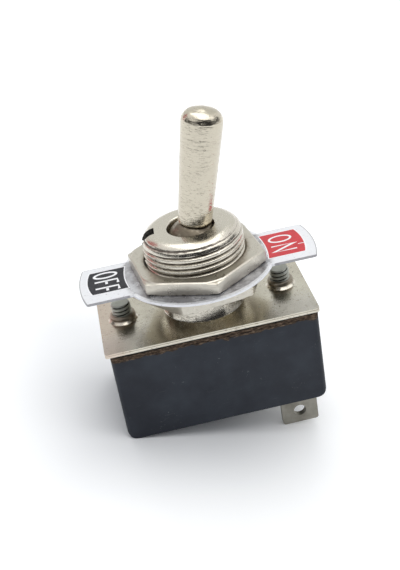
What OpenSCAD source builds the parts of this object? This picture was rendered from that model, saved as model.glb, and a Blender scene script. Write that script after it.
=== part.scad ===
// Panel toggle switch: two-position bat lever in a threaded bushing, riveted
// to a steel cover plate over a moulded switch housing.
// Millimetres, +Z up. The origin is on the bushing's axis at the top face of
// the upper nut. The lever swings in the XZ plane: ON is toward +X.
// The lever is drawn in the ON position.

/* [Bushing] */
// crest radius of the bushing thread
thread_r = 6.0; // [4.5:0.05:6.6]
// height of one thread flank, crest to mid flank
flank_h = 0.23; // [0.1:0.01:0.3]
// height of the crown above the upper nut
crown_h = 3.6; // [3.2:0.05:4.4]
// rounding of the crown's outer edge
crown_round = 1.7; // [1:0.05:2]
// radius of the hole in the crown
crown_hole_r = 2.78; // [2.7:0.01:2.9]
// bevel round the hole in the crown
hole_bevel = 0.25; // [0.1:0.05:0.4]
// radius of the plain neck below the lower nut
neck_r = 4.9; // [4.6:0.05:5.3]
// height of the neck between the cover plate and the lower nut
neck_h = 2.97; // [2.2:0.05:4]
// wall left round the bushing's mouth where it is staked in the plate
spigot_wall = 0.62; // [0.4:0.02:0.8]
// overlap of the staked rim under the cover plate
stake_lip = 0.55; // [0.3:0.05:0.7]
// thickness of the staked rim
stake_t = 0.45; // [0.3:0.05:0.6]
// width of the keyway cut along the thread
keyway_w = 1.55; // [0.8:0.05:1.8]
// depth of the keyway from the thread crest
keyway_depth = 1.7; // [0.6:0.05:1.8]
// direction of the keyway round the bushing
keyway_angle = 176; // [150:1:210]

/* [Nuts and label plate] */
// width across flats of both hexagon nuts
nut_af = 14.7; // [13:0.1:17]
// thickness of the upper nut
upper_nut_t = 1.65; // [1.2:0.05:3]
// thickness of the lower nut
lower_nut_t = 1.88; // [1.2:0.05:3]
// direction of one corner of the upper nut
upper_nut_angle = -22.3; // [-30:0.1:30]
// direction of one corner of the lower nut
lower_nut_angle = 8.3; // [-30:0.1:30]
// height taken off the corners of the nuts by their chamfer
nut_chamfer = 0.2; // [0.1:0.02:0.4]
// thickness of the label plate
label_t = 0.3; // [0.2:0.02:0.6]
// radius of the label plate's round middle
label_disc_r = 9.2; // [8.8:0.05:10]
// width of the label plate's tabs
tab_w = 8.2; // [6:0.1:10]
// length of the label plate from the axis to the end of a tab
tab_reach = 14.25; // [12.5:0.05:16]
// rounding of the corners at the end of a tab
tab_corner_r = 0.35; // [0.1:0.05:0.8]

/* [Lever] */
// angle of the lever from upright in each position
lever_tilt = 12.8; // [9:0.1:13]
// distance from the top of the crown down to the pivot
pivot_drop = 2.43; // [2.35:0.02:2.51]
// radius of the ball
ball_r = 3.15; // [3.1:0.01:3.16]
// distance from the pivot to the tip of the lever
lever_reach = 16.6; // [13:0.2:20]
// radius of the lever just above the ball
lever_base_r = 2.0; // [1.7:0.05:2.1]
// radius of the lever near its tip
lever_top_r = 2.4; // [1.8:0.05:3]
// rounding of the lever's lower edge
base_round = 0.3; // [0.1:0.05:0.4]
// rounding of the shoulder at the tip
tip_round = 1.4; // [0.8:0.05:1.6]
// radius of the flatter dome at the very tip
tip_dome_r = 3.6; // [2.6:0.1:6]
// radius of the lever's tail below the ball
tail_r = 1.72; // [1.6:0.02:1.8]
// distance from the pivot to the end of the tail
tail_reach = 9.6; // [9:0.1:10.2]
// radius of the cross pin through the ball
pivot_pin_r = 0.6; // [0.4:0.05:0.7]
// reach of the cross pin from the axis to each end
pivot_pin_reach = 4.2; // [3.8:0.05:4.4]
// radius of the bore in the tail
tail_bore_r = 1.15; // [1.0:0.01:1.2]
// distance from the pivot to the blind end of the bore
tail_bore_top = 3.6; // [2.5:0.1:4.2]

/* [Plunger and spring] */
// running clearance all round each moving fit
run_gap = 0.05; // [0.03:0.01:0.08]
// distance from the pivot to the centre of the plunger's round nose
nose_reach = 10.5; // [10.3:0.05:10.9]
// length of the plunger from its nose centre to its top
plunger_len = 3.7; // [2.5:0.1:4.5]
// radius of the spring's pocket in the plunger
spring_pocket_r = 0.78; // [0.65:0.01:0.85]
// depth of the spring's pocket
spring_pocket_depth = 1.8; // [1:0.1:2.2]
// radius of the spring's wire
wire_r = 0.13; // [0.08:0.01:0.16]
// outer radius of the spring
spring_r = 0.72; // [0.5:0.01:0.76]
// number of turns in the spring
spring_turns = 9; // [6:1:11]

/* [Rocker] */
// tilt of the rocker in each position
rocker_tilt = 7; // [5:0.1:8]
// distance from the top of the cover plate down to the rocker's hinge
rocker_drop = 5.6; // [5.4:0.05:6.0]
// radius of the rocker's stub pins
trunnion_r = 0.7; // [0.5:0.05:0.9]
// half width of the rocker
rocker_half_w = 3.5; // [3:0.05:3.7]
// length of each arm of the rocker
rocker_arm = 6.7; // [6.2:0.1:6.9]
// thickness of the rocker's arms below the hinge line
rocker_under = 0.6; // [0.4:0.05:0.9]
// thickness of the rocker's arms above the hinge line
rocker_over = 0.9; // [0.6:0.05:1.1]
// height of the rocker's middle block above the hinge line
rocker_block_h = 2.7; // [2.4:0.05:2.9]

/* [Contacts and terminals] */
// distance from the hinge to the moving contacts
contact_arm = 5.9; // [5.2:0.05:6.0]
// distance of the contacts from the switch's centre plane
contact_y = 3.4; // [3:0.05:3.7]
// thickness of the moving contact bar
bar_t = 0.6; // [0.4:0.05:0.8]
// width of the moving contact bar
bar_w = 1.7; // [1.4:0.1:1.9]
// radius of the contact tips
tip_r = 0.8; // [0.6:0.05:0.9]
// height of the domed moving tip
moving_tip_h = 0.5; // [0.35:0.05:0.7]
// height of the flat fixed tip
fixed_tip_h = 0.5; // [0.3:0.05:0.8]
// gap left between the closed contacts
contact_gap = 0.05; // [0.03:0.01:0.1]
// thickness of the terminal strip
strip_t = 0.8; // [0.5:0.05:1]
// distance of the terminal strips from the centre plane
strip_y = 5.0; // [4.9:0.02:5.0]
// height of the strip that lies along the housing's floor
strip_h = 1.7; // [1:0.1:1.8]
// distance from the switch's axis to the middle of a terminal blade
blade_x = 9.05; // [8.9:0.05:9.2]
// width of a terminal blade
blade_w = 4.55; // [3.5:0.05:4.7]
// length of a terminal blade below the housing
blade_len = 4.6; // [3:0.1:8]
// radius of the hole in a terminal blade
blade_hole_r = 0.78; // [0.5:0.02:1.0]
// distance from the blade's end to its hole
blade_hole_up = 1.75; // [1.6:0.05:2.2]
// rounding of the blade's lower corners
blade_corner_r = 0.35; // [0.1:0.05:0.6]

/* [Cover plate and gasket] */
// length of the cover plate
plate_l = 25.5; // [25.2:0.1:27]
// width of the cover plate
plate_w = 14.9; // [14.7:0.1:16]
// thickness of the cover plate
plate_t = 0.5; // [0.4:0.05:0.7]
// rounding of the cover plate's corners
plate_corner_r = 0.35; // [0.1:0.05:0.8]
// offset of the cover plate and its screws from the bushing's axis
plate_x = -0.16; // [-0.2:0.02:0.2]
// outer radius of the drawn collars that the screws thread into
collar_r = 1.55; // [1.5:0.05:2]
// height of the collars above the cover plate
collar_h = 0.8; // [0.4:0.05:1.4]
// thickness of the fibre gasket
gasket_t = 0.7; // [0.4:0.05:1]

/* [Housing] */
// length of the housing
body_l = 24.8; // [24.5:0.1:27]
// width of the housing
body_w = 14.66; // [14.2:0.1:16]
// height of the housing
body_h = 11.5; // [11.4:0.05:13]
// rounding of the housing's upright edges
body_edge_r = 0.6; // [0.3:0.1:1.2]
// rounding of the housing's lower end corners
body_end_r = 1.25; // [0.6:0.05:1.6]
// half length of the switch chamber
well_x = 7.3; // [7.2:0.02:7.35]
// half width of the switch chamber
well_y = 5.45; // [5.43:0.01:5.6]
// thickness of the housing's floor
floor_t = 1.4; // [1.2:0.05:1.4]
// thickness of the posts that carry the rocker
post_t = 0.75; // [0.5:0.05:0.8]

/* [Case screws] */
// distance between the two case screws
screw_pitch = 19.6; // [19.4:0.05:19.8]
// crest radius of the case screws
screw_r = 1.2; // [1:0.05:1.3]
// clearance round a case screw in the housing
screw_gap = 0.1; // [0.05:0.01:0.15]
// height of the screw ends above the cover plate
screw_out = 2.2; // [1:0.1:3]
// radius of the screw heads
screw_head_r = 2.1; // [1.6:0.05:2.15]
// thickness of the screw heads
screw_head_t = 1.1; // [0.8:0.05:1.2]

/* [Hidden] */
$fn = 64;
e = 0.01;
// heights from the origin
label_top = -upper_nut_t;
lower_nut_top = label_top - label_t;
neck_top = lower_nut_top - lower_nut_t;
plate_top = neck_top - neck_h;
plate_bottom = plate_top - plate_t;
body_top = plate_bottom - gasket_t;
body_bottom = body_top - body_h;
floor_z = body_bottom + floor_t;
pivot_z = crown_h - pivot_drop;
hinge_z = plate_top - rocker_drop;
mouth_z = plate_bottom - stake_t;
// fits
root_r = thread_r - flank_h;
seat_r = ball_r + run_gap;
lip_z = pivot_z + sqrt(pow(seat_r, 2) - pow(crown_hole_r, 2));
ball_bore_r = seat_r + 0.05;
// the mouth of the bushing stops the tail at each end of its swing
mouth_r = (pivot_z - mouth_z) * tan(lever_tilt) + tail_r / cos(lever_tilt) + 0.08;
spigot_r = mouth_r + spigot_wall;
plunger_r = tail_bore_r - run_gap;
plunger_top = nose_reach - plunger_len;
spring_len = plunger_top + spring_pocket_depth - tail_bore_top;
shoulder_s = lever_reach - tip_round - 0.2;
base_s = sqrt(pow(ball_r, 2) - pow(lever_base_r - base_round, 2));
// path of the plunger's nose seen from the tilted rocker
nose_dx = -nose_reach * sin(lever_tilt);
nose_dz = pivot_z - hinge_z - nose_reach * cos(lever_tilt);
path_x = cos(rocker_tilt) * nose_dx + sin(rocker_tilt) * nose_dz;
path_z = cos(rocker_tilt) * nose_dz - sin(rocker_tilt) * nose_dx;
path_mid = pivot_z - hinge_z - nose_reach;
path_rise = path_z - path_mid;
path_r = (pow(path_x, 2) + pow(path_rise, 2)) / (2 * path_rise);
trough_r = path_r + plunger_r + run_gap + 0.02;
// closed contacts, worked out from the moving tip's dome
tip_under = rocker_under + bar_t;
dome_r = (pow(tip_r, 2) + pow(moving_tip_h, 2)) / (2 * moving_tip_h);
dome_drop = tip_under + moving_tip_h - dome_r;
fixed_x = -contact_arm * cos(rocker_tilt) + dome_drop * sin(rocker_tilt);
fixed_top = hinge_z - contact_arm * sin(rocker_tilt)
            - dome_drop * cos(rocker_tilt) - dome_r - contact_gap;
tab_top = fixed_top - fixed_tip_h;
strip_left = fixed_x - tip_r - 0.1;
shank_r = screw_r + screw_gap;

module at_screws() for (s = [-1, 1]) translate([plate_x + s * screw_pitch / 2, 0, 0]) children();

// a rectangle centred on the origin with rounded corners
module round_rect(l, w, r) {
  square([l - 2 * r, w], center = true);
  square([l, w - 2 * r], center = true);
  for (sx = [-1, 1], sy = [-1, 1])
    translate([sx * (l / 2 - r), sy * (w / 2 - r)]) circle(r);
}

// a rectangle whose two lower corners are rounded, standing on y = 0
module round_foot(l, h, r) {
  translate([-l / 2 + r, 0]) square([l - 2 * r, h]);
  translate([-l / 2, r]) square([l, h - r]);
  for (s = [-1, 1]) translate([s * (l / 2 - r), r]) circle(r);
}

// the frame of the lever: its pivot, tilted to the ON position
module in_lever() translate([0, 0, pivot_z]) rotate([0, lever_tilt, 0]) children();

// the frame of the rocker: its hinge, tilted to the ON position
module in_rocker() translate([0, 0, hinge_z]) rotate([0, -rocker_tilt, 0]) children();

module hex_nut(t, a, bore_r) {
  corner = nut_af / 2 / cos(30);
  difference() {
    intersection() {
      rotate([0, 0, a]) cylinder(h = t, r = corner, $fn = 6);
      rotate_extrude() polygon([[0, 0], [nut_af / 2 - 0.1, 0],
        [corner + 0.01, nut_chamfer], [corner + 0.01, t - nut_chamfer],
        [nut_af / 2 - 0.1, t], [0, t]]);
    }
    translate([0, 0, -e]) cylinder(h = t + 2 * e, r = bore_r);
  }
}

module bushing() {
  color("silver") difference() {
    rotate_extrude() {
      // crown with its rounded edge
      square([thread_r - crown_round, crown_h]);
      translate([thread_r - crown_round, crown_h - crown_round]) circle(crown_round, $fn = 48);
      // thread crests where they show, mid flank inside the nuts
      square([thread_r, crown_h - crown_round]);
      translate([0, neck_top]) square([root_r, e - neck_top]);
      // neck, spigot and staked rim
      translate([0, plate_top]) square([neck_r, neck_h + e]);
      translate([0, mouth_z]) square([spigot_r, plate_top - mouth_z + e]);
      translate([0, mouth_z]) square([spigot_r + stake_lip, stake_t]);
    }
    // hole in the crown, its bevelled rim and the seat for the ball
    translate([0, 0, pivot_z]) cylinder(h = crown_h, r = crown_hole_r);
    translate([0, 0, crown_h - hole_bevel])
      cylinder(h = 2 * hole_bevel, r1 = crown_hole_r, r2 = crown_hole_r + 2 * hole_bevel);
    translate([0, 0, pivot_z]) sphere(seat_r);
    // bore that the ball goes in by, opened out for the swing of the tail
    translate([0, 0, mouth_z - 1]) cylinder(h = pivot_z - mouth_z + 1, r = ball_bore_r);
    translate([0, 0, pivot_z - 3.6]) cylinder(h = 1, r1 = mouth_r, r2 = ball_bore_r);
    translate([0, 0, mouth_z - 1]) cylinder(h = pivot_z - 3.6 - mouth_z + 1, r = mouth_r);
    // keyway along the whole thread
    rotate([0, 0, keyway_angle])
      translate([thread_r - keyway_depth, -keyway_w / 2, neck_top])
        cube([keyway_depth + 1, keyway_w, crown_h - neck_top + 1]);
    // slots that the cross pin drops into from below
    for (s = [-1, 1])
      translate([0, s * (pivot_pin_reach + 0.1), pivot_z]) rotate([90, 0, 0])
        translate([0, 0, s > 0 ? 0 : 2 - pivot_pin_reach]) linear_extrude(pivot_pin_reach - 2) {
          circle(pivot_pin_r + run_gap);
          translate([-pivot_pin_r - run_gap, mouth_z - pivot_z - 1])
            square([2 * (pivot_pin_r + run_gap), pivot_z - mouth_z + 1]);
        }
  }
}

module upper_nut() color("gainsboro") translate([0, 0, label_top]) hex_nut(upper_nut_t, upper_nut_angle, root_r);
module lower_nut() color("lightgray") translate([0, 0, neck_top]) hex_nut(lower_nut_t, lower_nut_angle, root_r);

// a tab whose end follows a circle about the axis, with rounded corners
module tab_outline() {
  inner_r = tab_reach - tab_corner_r;
  side = tab_w / 2 - tab_corner_r;
  corner_x = sqrt(pow(inner_r, 2) - pow(side, 2));
  translate([0, -tab_w / 2]) square([corner_x, tab_w]);
  for (s = [-1, 1]) translate([corner_x, s * side]) circle(tab_corner_r, $fn = 32);
  intersection() {
    circle(tab_reach, $fn = 192);
    polygon([[0, 0], [2 * corner_x, -2 * side], [2 * corner_x, 2 * side]]);
  }
}

module label_plate() color("lavender") translate([0, 0, lower_nut_top]) linear_extrude(label_t) difference() {
  union() {
    circle(label_disc_r, $fn = 128);
    for (a = [0, 180]) rotate(a) tab_outline();
  }
  circle(root_r);
}

module cover_plate() {
  color("darkgray") difference() {
    union() {
      translate([plate_x, 0, plate_bottom]) linear_extrude(plate_t) round_rect(plate_l, plate_w, plate_corner_r);
      // collars drawn up out of the plate
      at_screws() translate([0, 0, plate_top - e]) rotate_extrude() {
        square([collar_r, collar_h - 0.25 + e]);
        square([collar_r - 0.25, collar_h + e]);
        translate([collar_r - 0.25, collar_h - 0.25 + e]) circle(0.25, $fn = 32);
        // flare where the collar grows out of the plate
        polygon([[collar_r - 0.1, 0], [collar_r + 0.3, 0], [collar_r + 0.3, e], [collar_r, 0.3 + e], [collar_r - 0.1, 0.3 + e]]);
      }
    }
    translate([0, 0, plate_bottom - e]) cylinder(h = plate_t + 2 * e, r = spigot_r);
    at_screws() translate([0, 0, plate_bottom - e]) cylinder(h = plate_t + collar_h + 1, r = screw_r);
  }
}

module gasket() color("sienna") translate([0, 0, body_top]) linear_extrude(gasket_t) difference() {
  round_rect(body_l + 0.1, body_w + 0.06, 0.5);
  square([2 * well_x + 0.2, 2 * well_y], center = true);
  at_screws() circle(shank_r);
}

module housing() {
  color("darkslategray") difference() {
    intersection() {
      translate([0, 0, body_bottom]) linear_extrude(body_h) round_rect(body_l, body_w, body_edge_r);
      translate([0, body_w / 2 + 1, body_bottom]) rotate([90, 0, 0]) linear_extrude(body_w + 2) round_foot(body_l, body_h, body_end_r);
    }
    // the switch chamber, less the rocker's posts and the far stop
    difference() {
      translate([-well_x, -well_y, floor_z]) cube([2 * well_x, 2 * well_y, body_h]);
      rocker_posts();
      far_stop();
    }
    for (s = [-1, 1]) {
      // pockets beside the right screw, and the slots the blades go out by
      translate([well_x - e, s > 0 ? strip_y - strip_t / 2 - 0.3 : -well_y, floor_z])
        cube([blade_x + blade_w / 2 + 0.1 - well_x, well_y - strip_y + strip_t / 2 + 0.3, strip_h + 0.4]);
      translate([blade_x - blade_w / 2 - 0.05, s * strip_y - strip_t / 2 - 0.05, body_bottom - 1])
        cube([blade_w + 0.1, strip_t + 0.1, floor_t + 2]);
    }
    at_screws() {
      translate([0, 0, body_bottom - 1]) cylinder(h = body_h + 2, r = shank_r);
      translate([0, 0, body_bottom - 1]) cylinder(h = 1 + screw_head_t + 0.2, r = screw_head_r + 0.1);
    }
  }
}

// two posts with half-round notches for the rocker's stub pins
module rocker_posts() for (s = [-1, 1]) difference() {
  translate([-1.4, s > 0 ? rocker_half_w + 0.1 : -rocker_half_w - 0.1 - post_t, floor_z - 1])
    cube([2.8, post_t, hinge_z - floor_z + 1]);
  translate([0, s * (rocker_half_w + 2), hinge_z]) rotate([s * 90, 0, 0])
    cylinder(h = 3, r = trunnion_r + run_gap);
}

// rib that stops the rocker's right arm in the OFF position
stop_z = hinge_z - contact_arm * sin(rocker_tilt) - rocker_under * cos(rocker_tilt) - 0.2;
module far_stop() translate([contact_arm - 0.4, -2.5, floor_z - 1]) cube([1, 5, stop_z - floor_z + 1]);

module terminal(s) {
  mirror([0, s > 0 ? 0 : 1, 0]) difference() {
    union() {
      // strip along the floor and blade through it, stamped in one
      translate([0, strip_y + strip_t / 2, 0]) rotate([90, 0, 0]) linear_extrude(strip_t) {
        translate([strip_left, floor_z]) square([blade_x + blade_w / 2 - strip_left, strip_h]);
        translate([strip_left, floor_z]) square([2 * tip_r + 0.2, tab_top - floor_z - strip_t]);
        translate([blade_x, body_bottom - blade_len]) round_foot(blade_w, floor_z - body_bottom + blade_len + strip_h, blade_corner_r);
      }
      // tab bent inward to carry the fixed contact
      translate([strip_left, 0, 0]) rotate([90, 0, 90]) linear_extrude(2 * tip_r + 0.2) {
        translate([contact_y - tip_r - 0.1, tab_top - strip_t]) square([strip_y - strip_t / 2 - contact_y + tip_r + 0.1 + e, strip_t]);
        translate([strip_y - strip_t / 2, tab_top - strip_t]) intersection() {
          circle(strip_t);
          square(strip_t);
        }
      }
    }
    translate([blade_x, strip_y, body_bottom - blade_len + blade_hole_up]) rotate([90, 0, 0])
      cylinder(h = 4, r = blade_hole_r, center = true);
  }
}
module terminal_front() color("tan") terminal(-1);
module terminal_rear() color("tan") terminal(1);

module fixed_tip(s) translate([fixed_x, s * contact_y, tab_top]) cylinder(h = fixed_tip_h, r = tip_r);
module fixed_tip_front() color("gold") fixed_tip(-1);
module fixed_tip_rear() color("gold") fixed_tip(1);

// machine screw driven up from below, slotted head in its counterbore
module case_screw(s) translate([plate_x + s * screw_pitch / 2, 0, 0]) difference() {
  union() {
    translate([0, 0, body_bottom + 0.2]) cylinder(h = screw_head_t, r = screw_head_r);
    translate([0, 0, body_bottom + 0.2]) cylinder(h = plate_top + screw_out - body_bottom - 0.4, r = screw_r);
    translate([0, 0, plate_top + screw_out - 0.2 - e]) cylinder(h = 0.2 + e, r1 = screw_r, r2 = screw_r - 0.2);
  }
  translate([-3, -0.3, body_bottom]) cube([6, 0.6, 0.2 + 0.55]);
}
module screw_left() color("gray") case_screw(-1);
module screw_right() color("gray") case_screw(1);

module lever() color("silver") in_lever() difference() {
  union() {
    sphere(ball_r);
    // tail under the ball
    translate([0, 0, -tail_reach]) cylinder(h = 0.25, r1 = tail_r - 0.25, r2 = tail_r);
    translate([0, 0, 0.25 - tail_reach]) cylinder(h = tail_reach, r = tail_r);
    // tapered rod with a rounded lower edge, rounded shoulder and domed tip
    cylinder(h = shoulder_s, r = lever_base_r - base_round);
    rotate_extrude() {
      translate([lever_base_r - base_round, base_s + base_round]) circle(base_round, $fn = 32);
      translate([0, base_s]) square([lever_base_r - base_round, 1]);
      polygon([[0, base_s + base_round], [lever_base_r, base_s + base_round],
        [lever_top_r, shoulder_s - 0.6], [lever_top_r, shoulder_s], [0, shoulder_s]]);
      intersection() {
        translate([lever_top_r - tip_round, shoulder_s]) circle(tip_round, $fn = 64);
        translate([0, shoulder_s - 2]) square(4);
      }
      translate([0, shoulder_s - e]) square([lever_top_r - tip_round, tip_round + e]);
      translate([0, lever_reach - tip_dome_r]) intersection() {
        circle(tip_dome_r);
        translate([0, tip_dome_r - 1]) square([lever_top_r - tip_round + 0.35, 1]);
      }
    }
  }
  translate([0, 0, -tail_reach - e]) cylinder(h = tail_reach - tail_bore_top + e, r = tail_bore_r);
  rotate([90, 0, 0]) cylinder(h = 20, r = pivot_pin_r, center = true);
}

module pivot_pin() color("dimgray") in_lever() rotate([90, 0, 0]) cylinder(h = 2 * pivot_pin_reach, r = pivot_pin_r, center = true);

module plunger() color("ivory") in_lever() rotate_extrude() difference() {
  union() {
    translate([0, -nose_reach]) square([plunger_r, plunger_len]);
    translate([0, -nose_reach]) intersection() {
      circle(plunger_r);
      translate([0, -plunger_r]) square(plunger_r);
    }
  }
  translate([0, -plunger_top - spring_pocket_depth]) square([spring_pocket_r, spring_pocket_depth + e]);
}

// compression spring, ground flat where it bears
coil_r = spring_r - wire_r;
coil_sides = 8;
coil_steps = 10 * spring_turns;
function coil_z(t) = -tail_bore_top - wire_r - t * (spring_len - 2 * wire_r);
function coil_point(t, a) = [(coil_r + wire_r * cos(a)) * cos(360 * spring_turns * t),
  (coil_r + wire_r * cos(a)) * sin(360 * spring_turns * t), coil_z(t) + wire_r * sin(a)];
module plunger_spring() color("slategray") in_lever() polyhedron(
  points = [for (i = [0:coil_steps], j = [0:coil_sides - 1]) coil_point(i / coil_steps, 360 * j / coil_sides)],
  faces = concat(
    [[for (j = [0:coil_sides - 1]) j]],
    [[for (j = [coil_sides - 1:-1:0]) coil_steps * coil_sides + j]],
    [for (i = [0:coil_steps - 1], j = [0:coil_sides - 1]) [
      i * coil_sides + j, (i + 1) * coil_sides + j,
      (i + 1) * coil_sides + (j + 1) % coil_sides, i * coil_sides + (j + 1) % coil_sides]]));

module rocker() color("saddlebrown") in_rocker() {
  difference() {
    union() {
      translate([0, rocker_half_w, 0]) rotate([90, 0, 0]) linear_extrude(2 * rocker_half_w) {
        // arms, with their ends thinned
        polygon([[-rocker_arm, -rocker_under], [rocker_arm, -rocker_under], [rocker_arm, rocker_over * 0.4],
          [3.6, rocker_over], [-3.6, rocker_over], [-rocker_arm, rocker_over * 0.4]]);
        // block that holds the trough
        polygon([[-3.6, 0], [3.6, 0], [3.2, rocker_block_h], [-3.2, rocker_block_h]]);
        circle(trunnion_r + 0.6);
      }
      rotate([90, 0, 0]) cylinder(h = 2 * (rocker_half_w + 0.1 + post_t), r = trunnion_r, center = true);
    }
    // trough that the plunger's nose rides in
    translate([0, 0, path_mid + path_r]) rotate([90, 0, 0]) cylinder(h = 2.6, r = trough_r, center = true);
    // hole for the rivet of the contact bar
    translate([-contact_arm, 0, 0]) cylinder(h = 10, r = 0.5, center = true);
  }
}

module contact_bar() color("goldenrod") in_rocker() difference() {
  translate([-contact_arm, 0, -rocker_under - bar_t]) linear_extrude(bar_t) round_rect(bar_w, 2 * (contact_y + tip_r), 0.3);
  translate([-contact_arm, 0, -rocker_under - bar_t - e]) cylinder(h = bar_t + 2 * e, r = 0.5);
}

module bar_rivet() color("darkgoldenrod") in_rocker() translate([-contact_arm, 0, 0]) {
  translate([0, 0, -rocker_under - bar_t]) cylinder(h = rocker_under + bar_t + rivet_top, r = 0.5);
  translate([0, 0, rivet_top]) cylinder(h = 0.3, r = 0.75);
  translate([0, 0, -rocker_under - bar_t - 0.25]) cylinder(h = 0.25, r = 0.75);
}
rivet_top = rocker_over * 0.4 + (rocker_over * 0.6) * (rocker_arm - contact_arm + 0.75) / (rocker_arm - 3.6);

module moving_tip(s) in_rocker() translate([-contact_arm, s * contact_y, -tip_under]) rotate_extrude() intersection() {
  translate([0, -moving_tip_h + dome_r]) circle(dome_r);
  translate([0, -moving_tip_h]) square([dome_r, moving_tip_h]);
}
module moving_tip_front() color("gold") moving_tip(-1);
module moving_tip_rear() color("gold") moving_tip(1);

housing();
gasket();
cover_plate();
bushing();
lower_nut();
label_plate();
upper_nut();
screw_left();
screw_right();
lever();
pivot_pin();
plunger();
plunger_spring();
rocker();
contact_bar();
bar_rivet();
moving_tip_front();
moving_tip_rear();
fixed_tip_front();
fixed_tip_rear();
terminal_front();
terminal_rear();
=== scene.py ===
# %% [markdown]
# # A panel toggle switch, dressed for the studio
# The switch comes in as exact solids that ride on named bodies. This lesson
# gives each of them its finish. It also builds the pieces whose surface a
# plain solid doesn't carry: the threads, the chamfered nuts, the frayed
# gasket and the print on the label. The floor and the light come last.

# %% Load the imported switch
import math

import bmesh
import bpy
from mathutils import Matrix, Vector, noise


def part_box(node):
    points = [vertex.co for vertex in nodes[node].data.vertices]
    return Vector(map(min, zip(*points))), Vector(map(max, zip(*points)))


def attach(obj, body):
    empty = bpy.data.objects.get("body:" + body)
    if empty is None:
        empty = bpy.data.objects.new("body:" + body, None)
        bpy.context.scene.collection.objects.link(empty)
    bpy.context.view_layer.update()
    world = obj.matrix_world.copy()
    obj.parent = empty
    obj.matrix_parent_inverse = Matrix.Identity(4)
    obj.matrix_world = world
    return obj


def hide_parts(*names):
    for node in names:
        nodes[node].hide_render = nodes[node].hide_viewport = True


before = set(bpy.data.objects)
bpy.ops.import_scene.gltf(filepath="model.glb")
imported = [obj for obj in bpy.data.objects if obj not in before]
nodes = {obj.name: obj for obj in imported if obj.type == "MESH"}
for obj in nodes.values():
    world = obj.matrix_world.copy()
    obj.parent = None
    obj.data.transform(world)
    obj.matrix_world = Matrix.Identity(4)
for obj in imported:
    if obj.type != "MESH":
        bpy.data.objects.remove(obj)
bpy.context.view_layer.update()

MM = 0.001
scene = bpy.context.scene

# %% [markdown]
# ## Heights and radii of the switch
# The pieces stack along the bushing's axis, from the housing up to the crown.
# Their heights could be typed in, but they are read from the boxes of the
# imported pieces, so each dressed piece lands exactly where its solid is. A few
# values are written here, once: two thicknesses, the pivot's depth and the
# thread's pitch in millimetres, the phase of its helix and the lever's lean.

# %% Heights and radii
PLATE_T, GASKET_T = 0.5, 0.7
PIVOT_DROP = 2.43
PITCH, THREAD_START = 0.75, 0.151
TILT = math.radians(12.8)


def low(node):
    """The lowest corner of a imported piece, in millimetres."""
    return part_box(node)[0] / MM


def high(node):
    """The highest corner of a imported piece, in millimetres."""
    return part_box(node)[1] / MM


CROWN = high("bushing").z
LABEL_TOP = high("label_plate").z
NECK_TOP = low("lower_nut").z
GASKET_TOP = high("gasket").z
PLATE_TOP = GASKET_TOP + PLATE_T
MOUTH = low("bushing").z
PIVOT = CROWN - PIVOT_DROP
THREAD_R = high("bushing").x
print("plate top", round(PLATE_TOP, 2), "pivot", round(PIVOT, 2))
print("thread radius", round(THREAD_R, 2))

# %% [markdown]
# ## A camera for a small object
# The switch is looked at from a hand's length away, a little from the left
# and well above, so its top surfaces show and the far side is smaller than
# the near one. A lens of about 64 mm at that distance gives this gentle
# perspective. A camera can be aimed with angles or with a constraint. Here it
# gets a matrix made from its forward and up directions, which also holds the
# slight roll of a hand-held view.

# %% Camera
LENS = 63.7
EYE = (-8.256, -104.779, 56.346)

forward = Vector((0.067, 0.862, -0.502)).normalized()
up = Vector((0.215, 0.479, 0.851))
right = forward.cross(up).normalized()
up = right.cross(forward)
camera = bpy.data.objects.new("camera", bpy.data.cameras.new("camera"))
camera.data.lens = LENS
camera.data.clip_start = 5 * MM
camera.matrix_world = Matrix((
    (right.x, up.x, -forward.x, EYE[0] * MM),
    (right.y, up.y, -forward.y, EYE[1] * MM),
    (right.z, up.z, -forward.z, EYE[2] * MM),
    (0, 0, 0, 1),
))
scene.collection.objects.link(camera)
scene.camera = camera
scene.view_settings.view_transform = "Standard"
print("camera", round(camera.data.lens, 1), "mm lens")

# %% [markdown]
# ## Shader sums written as sums
# A finish on a real surface is a mixture: a little dirt times the depth of a
# groove, plus a faint cloud of tarnish. In Blender each plus and times is a
# Math node, and a page of them is hard to read. The small class below wraps an
# output socket, so that Python's own operators add those nodes. `1 - mask`
# works as well as `mask * 0.5`.

# %% Link
class Link:
    """An output socket that can stand in a sum."""

    def __init__(self, graph, socket):
        self.graph, self.socket = graph, socket

    def __add__(self, other):
        return self.graph.sum("ADD", self, other)

    def __sub__(self, other):
        return self.graph.sum("SUBTRACT", self, other)

    def __rsub__(self, other):
        return self.graph.sum("SUBTRACT", other, self)

    def __mul__(self, other):
        return self.graph.sum("MULTIPLY", self, other)

    def __pow__(self, other):
        return self.graph.sum("POWER", self, other)

    def larger(self, other):
        return self.graph.sum("MAXIMUM", self, other)

    def __abs__(self):
        return self.graph.sum("ABSOLUTE", self, 0.0)

    __radd__ = __add__
    __rmul__ = __mul__


print("links ready")

# %% [markdown]
# ## One way to add a node
# Any node comes from one method: its type, its settings, which are set first
# because they can change its sockets, and then the values or links of its
# sockets. It serves materials and the world. `seen` marks what the camera, a
# mirror or glass looks at, as against the light that lands on the switch.

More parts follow.
